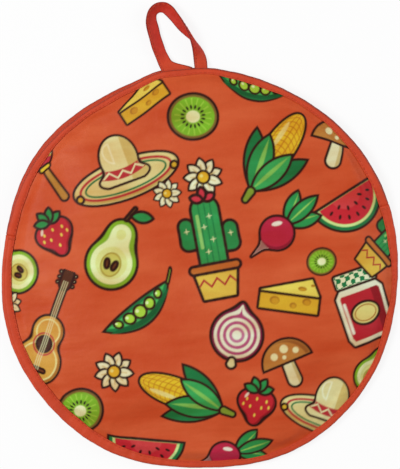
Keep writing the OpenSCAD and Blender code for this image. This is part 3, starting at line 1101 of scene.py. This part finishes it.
def print_on(obj, layout):
    """Stores the printed colours of a cover, worked out at its flat places."""
    flat = np.empty(3 * len(obj.data.vertices), np.float32)
    obj.data.attributes["cloth"].data.foreach_get("vector", flat)
    x, y = flat[0::3].astype(float), flat[1::3].astype(float)
    cloth = {"x": x, "y": y, "colour": np.tile(linear(GROUND), (len(x), 1))}
    for motif, *place in layout:
        motif(Stamp(cloth, *place))
    store(obj.data, "print", cloth["colour"])


# ---- the pouch ----


def piece(obj, finish, slot, *nodes, fold=True):
    """Gives a piece its finish and hides the imported parts of its nodes. With fold its place is baked
    into its mesh, or else it is attached to the pouch.
    """
    obj.data.materials.append(finish)
    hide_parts(*nodes)
    if fold:
        start, end = (FOLD_Y - FOLD_LEAD) * MM, (FOLD_Y + FOLD_RUN) * MM
        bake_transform(obj)
    else:
        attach(obj, "pouch")


def make_front(shift):
    """The front's batting, cover and lining, each in one piece across the fold."""
    low, high = over(front_low, LINING_T + LAYER_GAP), over(front_top, -COVER_T - LAYER_GAP)
    batting = panel_layer("front_panel_batting", front_cut, low, high, shift)
    piece(batting, batting_felt, "batting", "front_batting", "flap_batting")
    low, high = over(front_top, -COVER_T), front_top
    cover = panel_layer("front_panel_cover", front_cut, low, high, shift, PLAIN_CELLS, PRINT_CELLS)
    print_on(cover, LAYOUT)
    piece(cover, printed_cotton, "printed_cover", "front_cover", "flap_cover")
    lining = panel_layer("front_panel_lining", front_cut, front_low, over(front_low, LINING_T), shift)
    piece(lining, lining_cotton, "lining", "front_lining", "flap_lining")


def make_back(shift):
    """The back's layers, whose print faces down."""
    low, high = over(back_low, COVER_T + LAYER_GAP), over(back_top, -LINING_T - LAYER_GAP)
    batting = panel_layer("back_panel_batting", back_cut, low, high, shift)
    piece(batting, batting_felt, "batting", "back_batting", fold=False)
    low, high = back_low, over(back_low, COVER_T)
    cover = panel_layer("back_panel_cover", back_cut, low, high, shift, PRINT_CELLS, PLAIN_CELLS)
    print_on(cover, BACK_LAYOUT)
    piece(cover, printed_cotton, "printed_cover", "back_cover", fold=False)
    lining = panel_layer("back_panel_lining", back_cut, over(back_top, -LINING_T), back_top, shift)
    piece(lining, lining_cotton, "lining", "back_lining", fold=False)


def make_tapes():
    """The tape on the seam and on the mouth's two edges. The mouth's tapes end tucked into the seam's."""
    seam = bound_edge(
        "seam_tape", SEAM_SPAN, back_edge, front_tip, front_top, back_low,
        end=(6, 8), lift=0.06, crease=0.32,
    )
    piece(seam, bias_tape, "binding_tape", "seam_binding")
    span, end = (MOUTH_SPAN[0] - 2.2, MOUTH_SPAN[1] + 2.2), (5.4, 1.2)
    front = bound_edge(
        "front_mouth_tape", span, front_edge, front_tip, front_top, front_low,
        end, draw=0.9, lift=-0.75, drop=-0.5,
    )
    piece(front, bias_tape, "binding_tape", "front_mouth_binding")
    back = bound_edge(
        "back_mouth_tape", span, back_edge, back_tip, back_top, back_low,
        end, draw=0.9, lift=-0.5, drop=-0.75,
    )
    piece(back, bias_tape, "binding_tape", "back_mouth_binding", fold=False)


def make_stitching():
    """The rows of topstitching along the tapes, and the tacks at the mouth's two ends."""

    def shown(turn):
        return front_tip(turn) + STITCH_IN

    def hidden(turn):
        return back_tip(turn) + STITCH_IN

    above, below = over(front_top, TAPE_T - THREAD_SUNK), over(back_low, -TAPE_T + UNDER_SUNK)
    span = SEAM_SPAN[0] + 0.8, SEAM_SPAN[1] - 0.8
    row = stitches("seam_stitches", [row_on_rim(*span, shown, above, 1)])
    piece(row, sewing_thread, "thread", "seam_stitching_front")
    row = stitches("seam_stitches_under", [row_on_rim(*span, hidden, below, -1)])
    piece(row, sewing_thread, "thread", "seam_stitching_back")
    span = MOUTH_SPAN[0] + 0.6, MOUTH_SPAN[1] - 0.6
    inside = row_on_rim(*span, hidden, over(front_low, -TAPE_T + THREAD_SUNK), -1)
    row = stitches("front_mouth_stitches", [row_on_rim(*span, shown, above, 1), inside])
    piece(row, sewing_thread, "thread", "front_mouth_stitching")
    inside = row_on_rim(*span, hidden, over(back_top, TAPE_T - THREAD_SUNK), 1)
    row = stitches("back_mouth_stitches", [inside, row_on_rim(*span, hidden, below, -1)])
    piece(row, sewing_thread, "thread", "back_mouth_stitching", fold=False)
    bars = []
    for corner in (MOUTH_SPAN[0] - 0.9, MOUTH_SPAN[1] + 0.9):
        turn = radians(corner)
        out = np.array([cos(turn), sin(turn), 0])
        x, y = out[:2] * (float(back_edge(turn)) - 5)
        z = float(front_top(np.array(x), np.array(y))) + TAPE_T + 0.14
        bars.append(tack((x, y, z), out, 1.7, 4.4, 9))
    piece(stitches("mouth_tacks", bars), sewing_thread, "thread", "mouth_bartacks")


# ---- the hanging loop ----

# Each knot is a place across and past the feet's line, the tape's turn in degrees, and how cupped it is.
LOOP_KNOTS = np.array([
    (-12.2, 0, 0, 0.3), (-14.6, 7.2, 2, 0.5), (-17.6, 15.3, 12, 0.7), (-19.9, 23.8, 20, 0.8),
    (-21.4, 31.9, 26, 0.8), (-22.5, 39.8, 36, 0.8), (-21, 45.9, 46, 0.9), (-16.5, 49.3, 43, 1),
    (-11.2, 49, 34, 1), (-7.4, 45.9, 34, 1.2), (-4.6, 42.3, 40, 1.4), (-1.7, 38.2, 46, 1.6),
    (1.1, 34.1, 56, 2), (4.3, 29.4, 68, 2.4), (7.9, 23.3, 92, 2.4), (11.2, 16.3, 132, 1.8),
    (12.7, 8.7, 160, 0.9), (12.9, 0, 180, 0.3),
])
KNOT_STEPS, TAIL_STEPS = 10, 13
LOOP_W, LOOP_T, TAIL_L = 9.8, 1.6, 9.0
DROP_L, LIE_GAP = 14.0, 0.5  # the loop comes down over this length, and lies this far above the ground
FOOT_Y = POUCH_R + LOOP_T / 2 + 0.4
FOOT_Z = SEAM_Z + TAPE_T + LOOP_T / 2
WEB_W, WEB_MOST, WEB_RUN, WEB_FALL = 16.4, 14.6, 4.7, 2.4  # how the left foot opens out into a web
LOOP_STITCH_STEP, LOOP_STITCH_L = 3.0, 2.3
ROW_SHARE, CUP_LEVEL = 0.7, 0.35  # where the stitches run from middle to edge, and the level of the cup


def unit(v):
    """The same directions, each with a length of 1."""
    return v / np.linalg.norm(v, axis=-1, keepdims=True)


def loop_path():
    """Points along the loop's middle, its directions across and off its face, and how cupped it is."""
    lead = np.array([0, 8.0, 0, 0])
    knots = np.vstack([LOOP_KNOTS[:1] - lead, LOOP_KNOTS, LOOP_KNOTS[-1:] - lead])
    rows = []
    for k in range(len(LOOP_KNOTS) - 1):
        a, b, c, d = knots[k : k + 4]
        square, cube = 2 * a - 5 * b + 4 * c - d, 3 * b - a - 3 * c + d
        for t in np.arange(KNOT_STEPS) / KNOT_STEPS:
            rows.append(0.5 * (2 * b + (c - a) * t + square * t * t + cube * t**3))
    rows = np.array(rows + [LOOP_KNOTS[-1]])
    up, roll, cup = rows[:, 1], np.radians(rows[:, 2]), rows[:, 3]
    lie = LIE_GAP + LOOP_W / 2 * np.abs(np.sin(roll)) + (LOOP_T / 2 + cup * 0.3) * np.abs(np.cos(roll))
    z = FOOT_Z + (lie - FOOT_Z) * smooth(up / DROP_L)
    line = np.stack([rows[:, 0], FOOT_Y + up, z], -1)
    tail = np.linspace(0, TAIL_L + LOOP_T, TAIL_STEPS + 1)[1:, None] * np.array([0, 1.0, 0])
    line = np.vstack([line[0] - tail[::-1], line, line[-1] - tail])
    flat = np.zeros(TAIL_STEPS)
    roll = np.concatenate([flat, roll, flat + np.pi])
    cup = np.concatenate([flat, cup, flat])
    along = unit(np.gradient(line, axis=0))
    along[: TAIL_STEPS + 1], along[-TAIL_STEPS - 1 :] = (0, 1, 0), (0, -1, 0)
    level = unit(np.cross((0, 0, 1), along))
    turned = np.cross(along, level)
    across = level * np.cos(roll)[:, None] + turned * np.sin(roll)[:, None]
    return line, across, np.cross(along, across), cup


def make_loop():
    """The hanging loop, its tails and web, with its edge stitching and the tacks on its feet."""
    line, across, face, cup = loop_path()
    long = np.concatenate([[0], np.cumsum(np.linalg.norm(np.diff(line, axis=0), axis=1))])
    share = np.linspace(-1, 1, 17)
    body = np.clip(1 - np.abs(share) ** 5, 0.1, 1) ** 0.5
    wide = LOOP_W / 2 * (1 + 0.03 * np.sin(long / 6.1) + 0.02 * np.sin(long / 2.3))[:, None]
    opened = WEB_W * np.exp(-((np.maximum(long - TAIL_L, 0) / WEB_RUN) ** WEB_FALL))
    web = np.maximum(-share, 0) * np.minimum(opened, WEB_MOST)[:, None]
    reach = share * wide
    crinkle = 0.12 * np.minimum(cup, 1)[:, None] * np.sin(long[:, None] / 3.1 + 2 * share)
    curl = cup[:, None] * (share**2 - CUP_LEVEL) + crinkle
    stitched = -0.22 * np.exp(-(((share - ROW_SHARE) / 0.1) ** 2))
    skins = []
    for sign in (1, -1):
        high = sign * (LOOP_T / 2 * body + stitched) + curl
        skin = line[:, None] + across[:, None] * reach[..., None] + face[:, None] * high[..., None]
        skins.append(skin + web[..., None] * np.array([1, 0, 0]))
    from_foot = np.minimum(long, long[-1] - long) - TAIL_L
    lay = np.stack([long[:, None] + 0 * reach, reach, from_foot[:, None] + 0 * reach], -1)
    loop = band("loop_tape", *skins, lay)
    loop.data.materials.append(loop_tape)
    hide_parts("loop_tails", "hanging_loop")
    rows = []
    count = int((long[-1] - 2 * TAIL_L) / LOOP_STITCH_STEP)
    at = np.linspace(TAIL_L + 1, long[-1] - TAIL_L - 1, count)
    for sign in (1, -1):
        ends = []
        for place in (at - LOOP_STITCH_L / 2, at + LOOP_STITCH_L / 2):
            middle, side, out = (
                np.stack([np.interp(place, long, column) for column in values.T], -1)
                for values in (line, across, face)
            )
            high = np.interp(place, long, cup)[:, None] * (ROW_SHARE**2 - CUP_LEVEL)
            high = sign * (LOOP_T / 2 - 0.16) + high
            ends.append(middle + unit(side) * ROW_SHARE * LOOP_W / 2 + unit(out) * high)
        rows.append((*ends, sign * unit(out)))
    seam = stitches("loop_stitches", rows)
    seam.data.materials.append(sewing_thread)
    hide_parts("loop_edge_stitching")
    start, end = (FOOT_Y - 2) * MM, (FOOT_Y + 5) * MM
    for obj in (loop, seam):
        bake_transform(obj)
    y, z = POUCH_R - TAIL_L + 3.4, FOOT_Z + LOOP_T / 2
    bars = [tack((foot, y, z), (1, 0, 0), 1.8, 7.4, 11) for foot in LOOP_KNOTS[[0, -1], 0]]
    piece(stitches("loop_tacks", bars), sewing_thread, "thread", "loop_bartacks", fold=False)


def make_floor():
    side = np.linspace(-FLOOR_HALF, FLOOR_HALF, FLOOR_CELLS + 1)
    x, y = np.meshgrid(side, side, indexing="ij")
    points = np.stack([x, y, 0 * x - FLOOR_DROP], -1).reshape(-1, 3)
    floor = build("studio_floor", points, cell_faces(*x.shape).tolist())
    floor.data.materials.append(floor_finish())


set_camera()
set_lights()

printed_cotton = printed_finish()
# turned: where across each tape its painted shade starts and where it is full; on the bias tape that is
# the middle of its rounded edge, on the loop its two long edges
bias_tape = tape_finish("bias_tape", TAPE_SHADE, 0.55, turned=(2.6, 0.6))
loop_tape = tape_finish("loop_tape", "#C7311E", 0.55, turned=(3.9, 4.9), at_foot=TAPE_SHADE)
lining_cotton = plain_finish("lining_cotton", "#EFE6D8", 0.6, pitch=0.55)
batting_felt = plain_finish("batting_felt", "#F4F1EA", 0.75)
sewing_thread = thread_finish("#D04A28")

filled = settle_front()
make_front(filled)
make_back(np.abs(filled) * [0, 0, BACK_SHARE])
make_tapes()
make_stitching()
make_loop()
make_floor()
